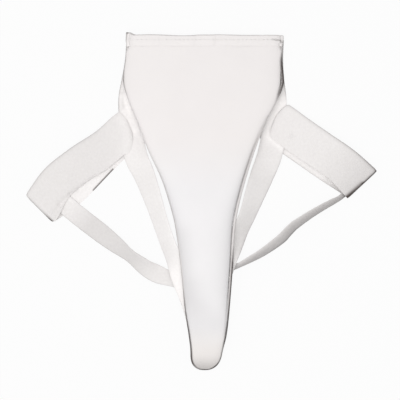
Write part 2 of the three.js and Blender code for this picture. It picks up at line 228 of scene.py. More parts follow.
def uneven(place, pitch, seed):
    """A wave of about that pitch that doesn't repeat, from -1 to 1."""
    stretches = (0.81, 1.0, 1.29)
    phases = np.random.default_rng(seed).uniform(0, 2 * np.pi, len(stretches))
    turns = [2 * np.pi * place / (pitch * stretch) for stretch in stretches]
    waves = [np.sin(turn + phase) for turn, phase in zip(turns, phases)]
    return sum(waves) / len(waves)


def ripple(place, wave, seed):
    """An uneven wave of a depth and a pitch."""
    return wave["deep"] * uneven(place, wave["pitch"], seed)


def soft_step(value, low, high):
    """Rises smoothly from 0 to 1 between two values."""
    t = np.clip((value - low) / (high - low), 0, 1)
    return t * t * (3 - 2 * t)


def bell(away):
    """1 in the middle, falling to 0 on both sides."""
    return np.exp(-(away**2))


def streaks(points, lines):
    """How much of all the streaks falls on each point. A streak fades to both sides of a line in plan, keeps
    between two heights where it names them, and may change to another strength by the line's end."""
    much = np.zeros(points.shape[:-1])
    for line in lines:
        start, way = np.array(line["from"], float), np.subtract(line["to"], line["from"])
        off = points[..., :2] - start
        share = np.clip(off @ way / max(way @ way, TINY), 0, 1)
        away = np.linalg.norm(off - share[..., None] * way, axis=-1)
        low, high = line.get("z", ANY_HEIGHT)
        within = (points[..., 2] >= low) & (points[..., 2] <= high)
        strength = line["much"] + share * (line.get("end", line["much"]) - line["much"])
        much += strength * bell(away / line["half"]) * within
    return much


def there_and_back(out, back):
    """Rings of points, or of values on them, that run along one wall and back along the other."""
    return np.concatenate([out, back[:, ::-1]], 1)


def tube_faces(count, around):
    """Faces between rings that follow each other, each ring closed on itself."""
    index = np.arange(count * around).reshape(count, around)
    beside = np.roll(index, -1, axis=1)
    return np.stack([index[:-1], beside[:-1], beside[1:], index[1:]], -1).reshape(-1, 4)


def cloth_mesh(name, points, faces, along, soil_and_shade, material):
    """A smooth mesh on the guard's one body. along gives each point's place on its cloth, and the last array
    how far it is greyed, by stains and by painted shade."""
    mesh = bpy.data.meshes.new(name)
    mesh.from_pydata((points * MM).tolist(), [], faces)
    corner = np.empty(len(mesh.loops), int)
    mesh.loops.foreach_get("vertex_index", corner)
    mesh.uv_layers.new(name="cloth").data.foreach_set("uv", (along[corner] * MM).ravel())
    mesh.attributes.new("soil_and_shade", "FLOAT", "POINT").data.foreach_set("value", soil_and_shade)
    form = bmesh.new()
    form.from_mesh(mesh)
    weld = 0.001 * MM
    bmesh.ops.remove_doubles(form, verts=form.verts, dist=weld)
    bmesh.ops.dissolve_degenerate(form, edges=form.edges, dist=weld)
    bmesh.ops.recalc_face_normals(form, faces=form.faces)
    form.to_mesh(mesh)
    form.free()
    mesh.shade_smooth()
    mesh.materials.append(material)
    made = bpy.data.objects.new(name, mesh)
    bpy.context.scene.collection.objects.link(made)
    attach(made, "root")
    return made


def piece(name, rings, along, material, soil_and_shade=None):
    """A closed piece of cloth through rings of points that run along one wall and back along the other."""
    count, around = rings.shape[:2]
    near = np.arange(around // 2 - 1)
    far = around - 1 - near
    first_end = np.stack([far, far - 1, near + 1, near], -1)
    last_end = np.stack([near, near + 1, far - 1, far], -1) + (count - 1) * around
    faces = np.concatenate([tube_faces(count, around), first_end, last_end])
    grey = np.zeros(count * around) if soil_and_shade is None else soil_and_shade.ravel()
    return cloth_mesh(name, rings.reshape(-1, 3), faces.tolist(), along.reshape(-1, 2), grey, material)


class Nodes:
    """A material's node tree, with short ways to add a node and to work a number out."""

    # Where the mixing node has its colours among its sockets.
    FIRST, SECOND, MIXED = 6, 7, 2

    def __init__(self, name):
        self.material = bpy.data.materials.new(name)
        self.material.use_nodes = True
        self.tree = self.material.node_tree
        self.shader = self.tree.nodes["Principled BSDF"]

    def add(self, kind, **inputs):
        node = self.tree.nodes.new("ShaderNode" + kind)
        for name, value in inputs.items():
            self.put(node.inputs[name.replace("_", " ")], value)
        return node

    def put(self, socket, value):
        if isinstance(value, bpy.types.NodeSocket):
            self.tree.links.new(value, socket)
        else:
            socket.default_value = value

    def math(self, operation, a, b=0.0):
        node = self.add("Math")
        node.operation = operation
        self.put(node.inputs[0], a)
        self.put(node.inputs[1], b)
        return node.outputs[0]

    def mix(self, share, first, second, blend="MIX"):
        """One colour changed into another, or blended with it, by a share."""
        node = self.add("Mix", Factor=share)
        node.data_type = "RGBA"
        node.blend_type = blend
        self.put(node.inputs[self.FIRST], first)
        self.put(node.inputs[self.SECOND], second)
        return node.outputs[self.MIXED]

    def place_on_cloth(self):
        """The point's place on its cloth in millimetres: across it, along it, and both as a vector."""
        uv = self.add("UVMap")
        uv.uv_map = "cloth"
        grown = self.add("VectorMath")
        grown.operation = "SCALE"
        self.put(grown.inputs["Scale"], 1 / MM)
        self.put(grown.inputs[0], uv.outputs[0])
        parts = self.add("SeparateXYZ", Vector=grown.outputs[0])
        return parts.outputs[0], parts.outputs[1], grown.outputs[0]

    def noise(self, vector, size, detail=3.0):
        """Noise from 0 to 1 whose patches are about that many millimetres across."""
        return self.add("TexNoise", Vector=vector, Scale=1 / size, Detail=detail).outputs[0]

    def tints(self, place, table):
        """A colour that changes along the cloth through rows of place and tint."""
        first, last = table[0][0], table[-1][0]
        share = self.add("MapRange", Value=place, From_Min=first, From_Max=last).outputs[0]
        ramp = self.add("ValToRGB", Fac=share)
        stops = ramp.color_ramp.elements
        stops[0].color = (*table[0][1], 1)
        stops[1].color = (*table[-1][1], 1)
        for at, tint in table[1:-1]:
            stops.new((at - first) / (last - first)).color = (*tint, 1)
        return ramp.outputs[0]

    def wave(self, place, pitch):
        return self.math("SINE", self.math("MULTIPLY", place, 2 * math.pi / pitch))

    def finish(self, colour, shade, patches, height, depth, rough, sheen):
        """Colours the cloth between two tints by patches, greys it for stains and painted shade, raises its
        weave.
        """
        soil_and_shade = self.add("Attribute")
        soil_and_shade.attribute_name = "soil_and_shade"
        greyed_colour = self.mix(soil_and_shade.outputs["Fac"], self.mix(patches, shade, colour), SOIL_AND_SHADE_TINT, "MULTIPLY")
        bump = self.add("Bump", Strength=1.0, Distance=depth * MM, Height=height)
        self.put(self.shader.inputs["Base Color"], greyed_colour)
        self.put(self.shader.inputs["Normal"], bump.outputs[0])
        self.put(self.shader.inputs["Roughness"], rough)
        self.shader.inputs["Sheen Weight"].default_value = sheen
        self.shader.inputs["Sheen Roughness"].default_value = CLOTH_SHINE["sheen_rough"]
        self.shader.inputs["Specular IOR Level"].default_value = CLOTH_SHINE["specular"]
        return self.material


def plain_weave(name, tints, shaded, thread, depth, rough, sheen):
    """Cloth of crossed threads: warp and weft rise in turn, with a little fuzz over them.
    Its tints change along it, and its darker patches have a share of them."""
    n = Nodes(name)
    across, along, place = n.place_on_cloth()
    colour = n.tints(along, tints)
    shade = n.tints(along, [(at, tuple(shaded * part for part in tint)) for at, tint in tints])
    weave = n.math("MULTIPLY", n.wave(across, 2 * thread), n.wave(along, 2 * thread))
    height = n.math("ADD", weave, n.noise(place, thread, WEAVE["fuzz_detail"]))
    patches = n.noise(place, WEAVE["patch"])
    spread = n.math("MULTIPLY", n.noise(place, WEAVE["rough_patch"]), WEAVE["rough_spread"])
    uneven_rough = n.math("ADD", spread, rough - WEAVE["rough_spread"] / 2)
    return n.finish(colour, shade, patches, height, depth, uneven_rough, sheen)


panel_cloth = plain_weave(
    "panel_cloth", PANEL_TINTS, PANEL_SHADED, thread=0.32, depth=0.018, rough=0.7, sheen=0.12
)

# The panel's grid has rows from the top to the tip, and points over the arch that lie closer at the seams.
drop = np.linspace(0, 1, PANEL_ROWS["count"])
panel_low = TIP_POINT + PANEL_INSET
panel_y = POUCH_TOP + (panel_low - POUCH_TOP) * np.sin(np.pi / 2 * drop ** PANEL_ROWS["crowding"])[:, None]
fine_turn = np.linspace(0, 1, PANEL_TURNS["fine"])
fine_run = run_length(panel_point(panel_y, fine_turn, 0.0), 1) + PANEL_TURNS["rising"] * fine_turn
even = np.linspace(0, 1, PANEL_TURNS["count"])
crowding = PANEL_TURNS["crowding"]
closer_at_seams = (1 - crowding) * even + crowding / 2 * (1 - np.cos(np.pi * even))
panel_turn = np.stack([np.interp(closer_at_seams * run[-1], run, fine_turn) for run in fine_run])
outer = panel_point(panel_y, panel_turn, 0.0)
inner = panel_point(panel_y, panel_turn, PANEL_WALL)
over = run_length(outer, 1)
from_seam = np.minimum(over, over[:, -1:] - over)
x, y, z = np.moveaxis(outer, -1, 0)
facing = unit(np.cross(np.gradient(outer, axis=0), np.gradient(outer, axis=1)))
facing = facing * np.sign(facing[..., 2:])

# The relief: puckers at the seam, gathers under the hem, a slack face, and a dent pressed in near the tip.
puckers = ripple(y, SEAM_PUCKER, seed=1) * np.exp(-from_seam / SEAM_PUCKER["reach"])
gathers = ripple(x, HEM_GATHER, seed=2) * np.exp(-np.abs(HEM_LOW - y) / HEM_GATHER["reach"])
loose = SLACK["deep"] * soft_step(from_seam, SLACK["from"], SLACK["full"])
loose = loose * uneven(x + SLACK["slant"] * y, SLACK["across"], seed=3) * uneven(y, SLACK["along"], seed=4)
dent = DENT["deep"] * bell((x - DENT["x"]) / DENT["wide"]) * bell((y - DENT["y"]) / DENT["long"])
seam_height, crown = pouch_at(panel_y, PANEL_INSET)[2:4]
height = z - seam_height
overhang, edge_shade, reach, groove_shade = edge_at(y, panel_turn < 0.5)
outer[..., :2] += facing[..., :2] * (overhang * soft_step(height, *OVERHANG_HEIGHTS))[..., None]
flat_place = np.stack([over - over[:, -1:] / 2, y], -1)
calm = soft_step(from_seam, 0, SEAM_PUCKER["calm"])[..., None]
outer = outer + facing * calm * (puckers + gathers + loose - dent)[..., None]

# The grey: painted shade in a dark rim along the pouch's outline and a dark groove beside the binding, and
# darker streaks.
outline_y = np.concatenate(
    [
        np.linspace(HEM_LOW - SEAM_GAP, TIP_START, OUTLINE["side"], endpoint=False),
        TIP_START + (TIP_POINT - TIP_START) * np.sin(np.linspace(0, np.pi / 2, OUTLINE["tip"])),
    ]
)
middle, half, rim = pouch_at(outline_y, 0.0)[:3]
left_edge = np.stack([middle - half, outline_y, rim], -1)
right_edge = np.stack([middle + half, outline_y, rim], -1)
outline = np.concatenate([left_edge, right_edge[-2::-1]])
near_points = outline[:: OUTLINE["every"], :2]
from_edge = np.min([np.hypot(outer[..., 0] - p[0], outer[..., 1] - p[1]) for p in near_points], axis=0)
# Painted shade: the rim darkens where the panel hangs over its seam, and a dark line marks the groove by the
# binding.
rim_shade = edge_shade * soft_step(overhang, *RIM_SHADE["overhang"])
rim_shade = rim_shade * np.exp(-((from_edge / np.minimum(reach, RIM_SHADE["reach"])) ** RIM_SHADE["steep"]))
rim_shade = rim_shade * (1 - soft_step(height / np.maximum(crown, 1), *RIM_SHADE["height"]))
groove_line_shade = groove_shade * bell((from_edge - BINDING_WIDTH - PANEL_GROOVE_SHADE["in"]) / PANEL_GROOVE_SHADE["half"])
streaks_and_shade = np.clip(streaks(outer, PANEL_STREAKS_AND_SHADE) + rim_shade + groove_line_shade, 0, 1)
front = piece(
    "front_panel_cloth",
    there_and_back(outer, inner),
    there_and_back(flat_place, flat_place),
    panel_cloth,
    there_and_back(streaks_and_shade, 0 * streaks_and_shade),
)
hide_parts("front_panel")

# Top hem. A cloth tape folded over the front panel's top edge and sewn through in a row of white thread.
# Its ends run out over the seam; the left end is caught up into a small ear, and the right one is tacked.
HEM_WALL = 1.0
HEM_FOLD = 1.2
HEM_INNER_FOLD = 0.25
HEM_ROWS = {"wall": 30, "bend": 10}
HEM_ARCH = {"y": 158.0, "points": 2000, "step": 0.42}
HEM_TAIL = {"reach": 3.0, "from": 0.9}
HEM_EAR = {"rise": 3.9, "from": 0.58, "behind": 0.2}
HEM_WAVE = {"deep": 0.55, "pitch": 70.0}
HEM_DRAWN = {"deep": 0.12, "pitch": 6.0}
HEM_FEATHER = {"edge": 0.15, "deep": 5}
HEM_ROW = 161.0
HEM_SEWN = 0.93
HEM_STITCH = {"pitch": 4.2, "long": 2.9, "wide": 0.5, "proud": 0.12, "soil_and_shade": 0.0}
HEM_HOLE = {"deep": 0.45, "trough": 0.0, "half": 0.5}
# The row is sewn loosely at the left and draws tight from near the middle.
HEM_TIGHT = {"least": 0.25, "from": -0.2, "full": 0.4}
HEM_TACK = {"x": 74.5, "y": 160.6, "long": 3.2, "wide": 0.7, "deep": 0.9}
# Painted shade along the top of the fold: its half width, its darkness, and how much and how often that
# varies.
HEM_FOLD_SHADE = {"half": 0.8, "soil_and_shade": 0.22, "varies": 0.16, "pitch": 38.0}
# Painted shadows: a dark line and dots at the tacked right end, and dark marks at the top and side of the
# left ear.
HEM_SHADE_MARKS = [
    {"from": (70.5, 161.2), "to": (77.5, 160.5), "half": 0.7, "much": 0.35},
    {"from": (78.9, 160.2), "to": (79.3, 158.4), "half": 0.8, "much": 0.6},
    {"from": (81.8, 158.4), "to": (82.6, 158.2), "half": 1.2, "much": 0.9},
    {"from": (-74.4, 169.4), "to": (-74.2, 168.2), "half": 1.3, "much": 0.8},
    {"from": (-75.2, 167.0), "to": (-76.4, 155.0), "half": 0.9, "much": 0.4},
]
TAPE_COLOUR = (0.81, 0.779, 0.771)
TAPE_SHADE = (0.775, 0.744, 0.735)
THREAD_COLOUR = (0.81, 0.80, 0.79)
THREAD_SHADE = (0.77, 0.76, 0.75)
TWILL = {"rib": 3, "cross": 0.4, "patch": 12.0}
THREAD = {"patch": 6.0, "steps": 9, "sides": 8, "thin": 0.55, "hole": 8}


def twill(name, colour, shade, thread, depth, rough, sheen):
    """Tape woven on the slant: fine diagonal ribs crossed by the threads that float over them."""
    n = Nodes(name)
    across, along, place = n.place_on_cloth()
    slant = n.wave(n.math("ADD", across, along), TWILL["rib"] * thread)
    height = n.math("ADD", slant, n.math("MULTIPLY", n.wave(along, thread), TWILL["cross"]))
    height = n.math("ADD", height, n.noise(place, thread))
    patches = n.noise(place, TWILL["patch"])
    return n.finish((*colour, 1), (*shade, 1), patches, height, depth, rough, sheen)


def thread_finish(name, colour, shade, twist, depth, rough, sheen):
    """Sewing thread: two plies twisted round each other, a little smoother than the cloth."""
    n = Nodes(name)
    across, along, place = n.place_on_cloth()
    plies = n.wave(n.math("ADD", across, along), twist)
    patches = n.noise(place, THREAD["patch"])
    return n.finish((*colour, 1), (*shade, 1), patches, plies, depth, rough, sheen)


tape_cloth = twill("tape_cloth", TAPE_COLOUR, TAPE_SHADE, thread=0.4, depth=0.03, rough=0.8, sheen=0.15)
white_thread = thread_finish(
    "white_thread", THREAD_COLOUR, THREAD_SHADE, twist=0.7, depth=0.04, rough=0.55, sheen=0.1
)


def hole_depth(place, stitch, hole):
    """How far a row of stitches draws the cloth in along its line: deepest at the needle's holes."""
    at_hole = np.cos(np.pi * place / stitch["pitch"]) ** THREAD["hole"]
    return hole["trough"] + (hole["deep"] - hole["trough"]) * at_hole


def along_line(at, run, points):
    """Points of a line at distances along it."""
    return np.stack([np.interp(at, run, points[:, k]) for k in range(3)], -1)


def sewing(name, path, outward, stitch, material):
    """A row of stitches along a line on the cloth.
    Each thread leaves a hole, lies on the face and enters the next hole."""
    run = run_length(path, 0)
    steps = np.linspace(0, 1, THREAD["steps"])
    sides = np.linspace(0, 2 * np.pi, THREAD["sides"], endpoint=False)
    arch = np.sin(np.pi * steps) ** 0.5
    radius = stitch["wide"] / 2 * (THREAD["thin"] + (1 - THREAD["thin"]) * arch)
    rise = stitch["proud"] * arch - stitch["wide"] * (1 - arch)
    first_start = (stitch["pitch"] - stitch["long"]) / 2
    tubes = []
    for start in np.arange(first_start, run[-1] - stitch["long"], stitch["pitch"]):
        at = start + stitch["long"] * steps
        middle = along_line(at, run, path)
        lift = unit(along_line(at, run, outward))
        aside = unit(np.cross(unit(np.gradient(middle, axis=0)), lift))
        middle = middle + lift * rise[:, None]
        ring = aside[:, None] * np.cos(sides)[:, None] + lift[:, None] * np.sin(sides)[:, None]
        tubes.append(middle[:, None] + ring * radius[:, None, None])
    count, around = len(steps), len(sides)
    faces = []
    caps = []
    for start in range(0, len(tubes) * count * around, count * around):
        faces += (tube_faces(count, around) + start).tolist()
        caps.append((np.arange(around)[::-1] + start).tolist())
        caps.append((np.arange(around) + (count - 1) * around + start).tolist())
    points = np.concatenate([tube.reshape(-1, 3) for tube in tubes])
    along = np.stack(np.meshgrid(steps * stitch["long"], sides, indexing="ij"), -1).reshape(-1, 2)
    along = np.tile(along, (len(tubes), 1))
    soil_and_shade = np.full(len(points), stitch["soil_and_shade"])
    return cloth_mesh(name, points, faces + caps, along, soil_and_shade, material)


# Places along the hem, from the right seam over the arch to the left one, where hem_out is 1.
hem_high = POUCH_TOP + SEAM_GAP
arch_turn = np.linspace(0, 1, HEM_ARCH["points"])
arch_run = run_length(panel_point(HEM_ARCH["y"], arch_turn, 0.0), 0)
hem_run = np.linspace(0, arch_run[-1], round(arch_run[-1] / HEM_ARCH["step"]))
hem_turn = np.interp(hem_run, arch_run, arch_turn)[:, None]
hem_x = panel_point(HEM_ARCH["y"], hem_turn, 0.0)[..., 0]
hem_out = 2 * hem_turn - 1
tail = HEM_TAIL["reach"] * soft_step(np.abs(hem_out), HEM_TAIL["from"], 1)
rise = HEM_EAR["rise"] * np.maximum(0, hem_out - HEM_EAR["from"]) / (1 - HEM_EAR["from"])


def share_up(place):
    """How far up the hem a place lies: 0 at its lower edge, and 1 from the panel's top."""
    return np.clip((place - HEM_LOW) / (hem_high - HEM_LOW), 0, 1)


def hem_skin(face_in, back_in, high):
    """The tape's path over the panel's edge, as places up the panel and depths under its face."""
    up = np.linspace(HEM_LOW, hem_high, HEM_ROWS["wall"])
    bend = np.linspace(0, np.pi, HEM_ROWS["bend"] + 2)[1:-1]
    place = np.concatenate([up, hem_high + high * np.sin(bend), up[::-1]])
    bend_depth = (face_in + back_in) / 2 - (back_in - face_in) / 2 * np.cos(bend)
    depth = np.concatenate([np.full_like(up, face_in), bend_depth, np.full_like(up, back_in)])
    return place, depth


hem_face = -SEAM_GAP - HEM_WALL
hem_back = PANEL_WALL + SEAM_GAP + HEM_WALL
outside, outside_depth = hem_skin(hem_face, hem_back, HEM_FOLD)
inside, inside_depth = hem_skin(-SEAM_GAP, PANEL_WALL + SEAM_GAP, HEM_INNER_FOLD)
on_face = outside_depth < 0
holes = hole_depth(hem_run, HEM_STITCH, HEM_HOLE)[:, None]
drawn_tight = soft_step(-hem_out, HEM_TIGHT["from"], HEM_TIGHT["full"])
tight = HEM_TIGHT["least"] + (1 - HEM_TIGHT["least"]) * drawn_tight
sunk = bell((outside - HEM_ROW) / HEM_HOLE["half"]) * holes * tight
drawn = ripple(hem_run, HEM_DRAWN, seed=5)[:, None]
tack_x = (hem_x - HEM_TACK["x"]) / HEM_TACK["long"]
tack_y = (outside - HEM_TACK["y"]) / HEM_TACK["wide"]
tacked = HEM_TACK["deep"] * bell(tack_x) * bell(tack_y)
thinned = 1 - soft_step(outside, HEM_LOW, HEM_LOW + HEM_FEATHER["deep"])
feathered = (SEAM_GAP + HEM_WALL - HEM_FEATHER["edge"]) * thinned
face_depth = outside_depth + on_face * (sunk + tacked + feathered - drawn - tail)
outside_points = panel_point(outside, hem_turn, face_depth)
to_back = np.clip((outside_depth - hem_face) / (hem_back - hem_face), 0, 1)
ear = rise * share_up(outside) * (1 - (1 - HEM_EAR["behind"]) * to_back)
wavy = ripple(hem_run, HEM_WAVE, seed=9)[:, None] * share_up(outside)
outside_points[..., 1] += ear + wavy
inside_points = panel_point(inside, hem_turn, inside_depth)
inside_points[..., 1] += HEM_EAR["behind"] * rise * share_up(inside)
hem_rings = there_and_back(outside_points, inside_points)
tape_run = there_and_back(run_length(outside_points, 1), run_length(inside_points, 1))
# Painted shade along the fold's top, and painted shadows at the hem's ends.
fold_top = bell((outside - hem_high - HEM_FOLD) / HEM_FOLD_SHADE["half"])
fold_top = np.concatenate([fold_top, np.zeros(len(inside))])
fold_shade = HEM_FOLD_SHADE["soil_and_shade"] + HEM_FOLD_SHADE["varies"] * uneven(hem_run, HEM_FOLD_SHADE["pitch"], seed=8)
hem_shade = np.clip(fold_shade[:, None] * fold_top + streaks(hem_rings, HEM_SHADE_MARKS), 0, 1)
hem = piece(
    "top_hem_tape",
    hem_rings,
    np.stack(np.broadcast_arrays(hem_run[:, None], tape_run), -1),
    tape_cloth,
    hem_shade,
)
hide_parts("top_hem")
sewn = np.abs(hem_out[:, 0]) < HEM_SEWN
sewn_turn = hem_turn[sewn, 0]
sewn_rise = rise[sewn, 0] * share_up(HEM_ROW)
lift = np.column_stack([0 * sewn_rise, sewn_rise, 0 * sewn_rise])
bed = panel_point(HEM_ROW, sewn_turn, hem_face + HEM_HOLE["trough"]) + lift
above = panel_point(HEM_ROW, sewn_turn, hem_face - HEM_WALL) + lift
hem_seam = sewing("hem_stitches", bed, unit(above - bed), HEM_STITCH, white_thread)

# Back panel. A plain lining cloth cut to the pouch's outline; it follows the seam and closes the pocket.
# It is stretched between the two sides of the seam, so it shows only a slight slackness.
LINING_WALL = 1.2
LINING_TINTS = [(TIP_POINT, (0.765, 0.748, 0.728)), (POUCH_TOP, (0.765, 0.752, 0.738))]
LINING_SHADED = 0.938
LINING_COLUMNS = 61
LINING_SLACK = {"deep": 0.1, "slant": 9, "pitch": 17}
lining_cloth = plain_weave(
    "lining_cloth", LINING_TINTS, LINING_SHADED, thread=0.45, depth=0.04, rough=0.85, sheen=0.1
)
back_y = panel_y[::2]
back_share = np.linspace(-1, 1, LINING_COLUMNS)
middle, half, rim = pouch_at(back_y, PANEL_INSET)[:3]
slack = ripple(back_y + LINING_SLACK["slant"] * back_share, LINING_SLACK, seed=6) * (1 - back_share**2)
back_z = rim - SEAM_GAP / 2 + np.minimum(slack, 0)
back_face = np.stack(np.broadcast_arrays(middle + half * back_share, back_y, back_z), -1)
back_under = back_face - [0, 0, LINING_WALL]
back_place = back_face[..., :2]
back = piece(
    "back_panel_cloth",
    there_and_back(back_face, back_under),
    there_and_back(back_place, back_place),
    lining_cloth,
)
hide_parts("back_panel")

# Edge binding. A narrow tape folded round the raw edges of both panels, down one side and up the other.
# One row of small stitches runs along its inner side, and its outer edge and groove are painted dark as
# shade.
BINDING_STEP = 0.55
# The binding's stitches are painted a little dark, as shade like the tape around them.
BINDING_STITCH = {"pitch": 3.5, "long": 2.3, "wide": 0.34, "proud": -0.08, "soil_and_shade": 0.12}
BINDING_HOLE = {"deep": 0.15, "trough": 0.06, "row": -2.25, "half": 0.45}
BINDING_WAVE = {"deep": 0.1, "pitch": 7.0}
BINDING_FACE = 1.0
# How steeply the binding's painted edge shade falls off inwards, and the half width of its painted groove
# shade.
BINDING_SHADE = {"steep": 3, "groove_shade": 0.45}
BINDING_LOWEST = 0.05
# Up the right side, by place: how far the tape has worked loose and stands out.
BINDING_LOOSE = [(95.0, 0.0), (107.0, 0.8), (119.0, 1.7), (127.0, 1.1), (135.0, 0.5), (147.0, 0.0)]
# Half of the folded tape's section, above the seam and then below it: distance out from the edge, and height.
BINDING_TOP = [
    (-3.0, 1.7),
    (-2.92, 2.15),
    (-2.65, 2.38),
    (-2.4, 2.42),
    (-2.1, 2.42),
    (-1.85, 2.42),
    (-1.5, 2.4),
    (-1.05, 2.2),
    (-0.65, 1.75),
    (-0.3, 1.05),
    (-0.08, 0.3),
    (0.0, -0.3),
]
BINDING_UNDER = [
    (0.0, -0.5),
    (-0.12, -1.0),
    (-0.35, -1.45),
    (-0.7, -1.8),
    (-1.1, -1.97),
    (-1.45, -2.0),
    (-1.8, -2.0),
    (-2.1, -2.0),
    (-2.4, -2.0),
    (-2.65, -1.96),
    (-2.9, -1.8),
    (-3.0, -1.5),
]
edge_run = run_length(outline, 0)
bound_run = np.linspace(0, edge_run[-1], round(edge_run[-1] / BINDING_STEP))
edge_line = along_line(bound_run, edge_run, outline)
way = np.gradient(edge_line, axis=0)
outward = unit(np.stack([way[:, 1], -way[:, 0], 0 * way[:, 0]], -1))
section = np.array(BINDING_TOP + BINDING_UNDER)
out, up = section.T
on_face = up > BINDING_FACE
holes = hole_depth(bound_run, BINDING_STITCH, BINDING_HOLE)[:, None]
sunk = bell((out - BINDING_HOLE["row"]) / BINDING_HOLE["half"]) * holes
wavy = ripple(bound_run, BINDING_WAVE, seed=7)[:, None]
on_right = bound_run > bound_run[-1] / 2
stands_out = on_right * np.interp(edge_line[:, 1], *np.array(BINDING_LOOSE).T)
edge_line = edge_line + outward * stands_out[:, None]
binding_rings = edge_line[:, None] + outward[:, None] * out[:, None]
binding_rings[..., 2] += up + on_face * (wavy - sunk)
binding_rings[..., 2] = np.maximum(binding_rings[..., 2], BINDING_LOWEST)
edge_shade, reach, groove_shade = edge_at(edge_line[:, 1:2], on_right[:, None])[1:]
# Painted shade on the binding's outer edge, and in a line at its groove.
binding_edge_shade = edge_shade * np.exp(-((-out / reach) ** BINDING_SHADE["steep"]))
binding_groove_shade = groove_shade * bell((out + BINDING_WIDTH) / BINDING_SHADE["groove_shade"])
binding = piece(
    "edge_binding_tape",
    binding_rings,
    np.stack(np.broadcast_arrays(run_length(section, 0), bound_run[:, None]), -1),
    tape_cloth,
    np.clip(binding_edge_shade + binding_groove_shade, 0, 1),
)
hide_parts("edge_binding")
row_line = edge_line + outward * BINDING_HOLE["row"]
row_line[:, 2] += np.interp(BINDING_HOLE["row"], *np.array(BINDING_TOP).T) - BINDING_HOLE["trough"]
upward = np.broadcast_to([0.0, 0.0, 1.0], row_line.shape)
sewing("binding_stitches", row_line, upward, BINDING_STITCH, white_thread)

# Side straps. Knitted elastic webbing, sewn behind the pouch's top corners, that runs down beside it.
# Each rolls over on its way, and goes in behind the pouch's lower half, where its end is sewn to the lining.
SIDE_STRAP = {"width": 25.0, "thick": 1.2}
ELASTIC_COLOUR = (0.985, 0.96, 0.95)
ELASTIC_SHADE = (0.87, 0.843, 0.832)
# The knit: its ribs, its rows of loops and the bow in them, then its fuzz, its mottle and its patches.
KNIT = {"rib": 2.4, "loop": 1.1, "loop_height": 0.45, "bow": 1.2, "bow_deep": 0.25}
KNIT_FUZZ = {"size": 0.5, "height": 0.8}
KNIT_MOTTLE = {"size": 2.6, "detail": 5.0, "patch": 26.0, "middle": 0.4, "share": 0.4}
WEBBING = {"step": 1.0, "ahead": 0.05, "gathered": 0.4, "lowest": 0.02}
SELVEDGE = {"thinner": 0.55, "round": 10}
LIFTED_EDGE_WAVE = {"deep": 0.1, "pitch": 11.0}
LOW_EDGE_WAVE = {"deep": 0.1, "pitch": 12.5}
FRAY = {"deep": 0.08, "pitch": 3.1}
# Rows give the middle of the strap, its roll in degrees towards the pouch, and the share left of its width.
SIDE_STRAP_LEFT = [
    (-63.0, 161.5, 0.7, 0, 1),
    (-64.4, 140.8, 0.9, 0, 1),
    (-67.6, 120.8, 2.0, 0, 1),
    (-71.0, 101.5, 2.5, 0, 1),
    (-70.0, 70.8, 2.5, 0, 0.95),
    (-66.3, 45.8, 4.6, 12, 0.95),
    (-57.6, 25.8, 7.2, 32, 1),
    (-50.2, 5.8, 9.4, 42, 1),
    (-43.6, -14.2, 10.8, 50, 1),
    (-34.8, -40.2, 11.4, 53, 1),
    (-26.8, -59.2, 12.0, 47, 1),
    (-19.8, -75.0, 14.9, 27, 1),
    (-12.8, -89.0, 16.8, 9, 1),
    (-7.0, -104.0, 15.3, 1, 1),
    (-3.0, -117.0, 12.9, 0, 1),
]
SIDE_STRAP_RIGHT = [
    (69.8, 161.5, 0.7, 0, 1),
    (69.1, 140.8, 0.9, 0, 1),
    (70.2, 120.8, 2.0, 0, 1),
    (72.5, 100.8, 2.5, 0, 1),
    (72.6, 70.8, 2.5, 0, 1),
    (68.0, 45.8, 3.4, 5, 1),
    (60.6, 25.8, 5.6, 20, 1),
    (53.1, 5.8, 8.5, 36, 1),
    (45.0, -15.9, 10.6, 49, 1),
    (38.4, -29.0, 10.8, 47, 1),
    (32.0, -40.0, 13.4, 31, 1),
    (26.2, -50.0, 18.2, 10, 1),
    (22.8, -58.0, 19.6, 2, 1),
    (18.0, -72.0, 19.4, 0, 1),
    (15.2, -85.0, 18.2, 0, 1),
]
# Painted shade by share of the length: how dark the webbing, its low edge and its lifted edge are painted.
SIDE_SHADE_LEFT = [
    (0, 0.1, 0.3, 0),
    (0.14, 0.04, 0.7, 0),
    (0.2, 0.05, 0.6, 0),
    (0.24, 0.1, 0.7, 0),
    (0.26, 0.12, 0.2, 0),
    (0.35, 0.13, 0.1, 0),
    (0.5, 0.11, 0.1, 0),
    (0.7, 0, 0.1, 0),
    (1, 0, 0.2, 0),
]
SIDE_SHADE_RIGHT = [
    (0, 0.24, 0.4, 0),
    (0.18, 0.2, 0.6, 0),
    (0.22, 0.06, 0.5, 0),
    (0.25, 0, 0.2, 0),
    (0.37, 0, 0.2, 0),
    (0.42, 0.13, 0.2, 0),
    (0.55, 0.16, 0.35, 0),
    (0.65, 0.08, 0.4, 0),
    (1, 0.05, 0.4, 0),
]
# Beside the belt's ends the straps are painted lighter, and the left one has a soft crease.
SIDE_CREASES_LEFT = [{"from": (-83, 94), "to": (-75, 92), "half": 1.2, "much": -0.4}]
# On the left strap: a painted shadow line by the crease, and painted light beside the belt's end and the
# pouch.
SIDE_LIGHT_AND_SHADE_LEFT = [
    {"from": (-79.6, 108), "to": (-78.6, 94), "half": 2.0, "much": 0.14},
    {"from": (-78, 87), "to": (-68, 70), "half": 3, "much": -0.05},
    {"from": (-67, 70), "to": (-74, 48), "half": 3, "much": -0.05},
    {"from": (-78, 105), "to": (-48, 40), "half": 4, "much": -0.1},
]
# On the right strap: painted light against the shade beside the belt's end and the pouch's side.
SIDE_PAINTED_LIGHT_RIGHT = [
    {"from": (80, 93), "to": (67, 78), "half": 2.5, "much": -0.13},
    {"from": (67, 78), "to": (67, 68), "half": 3, "much": -0.15},
    {"from": (67, 68), "to": (85, 48), "half": 3, "much": -0.15},
]


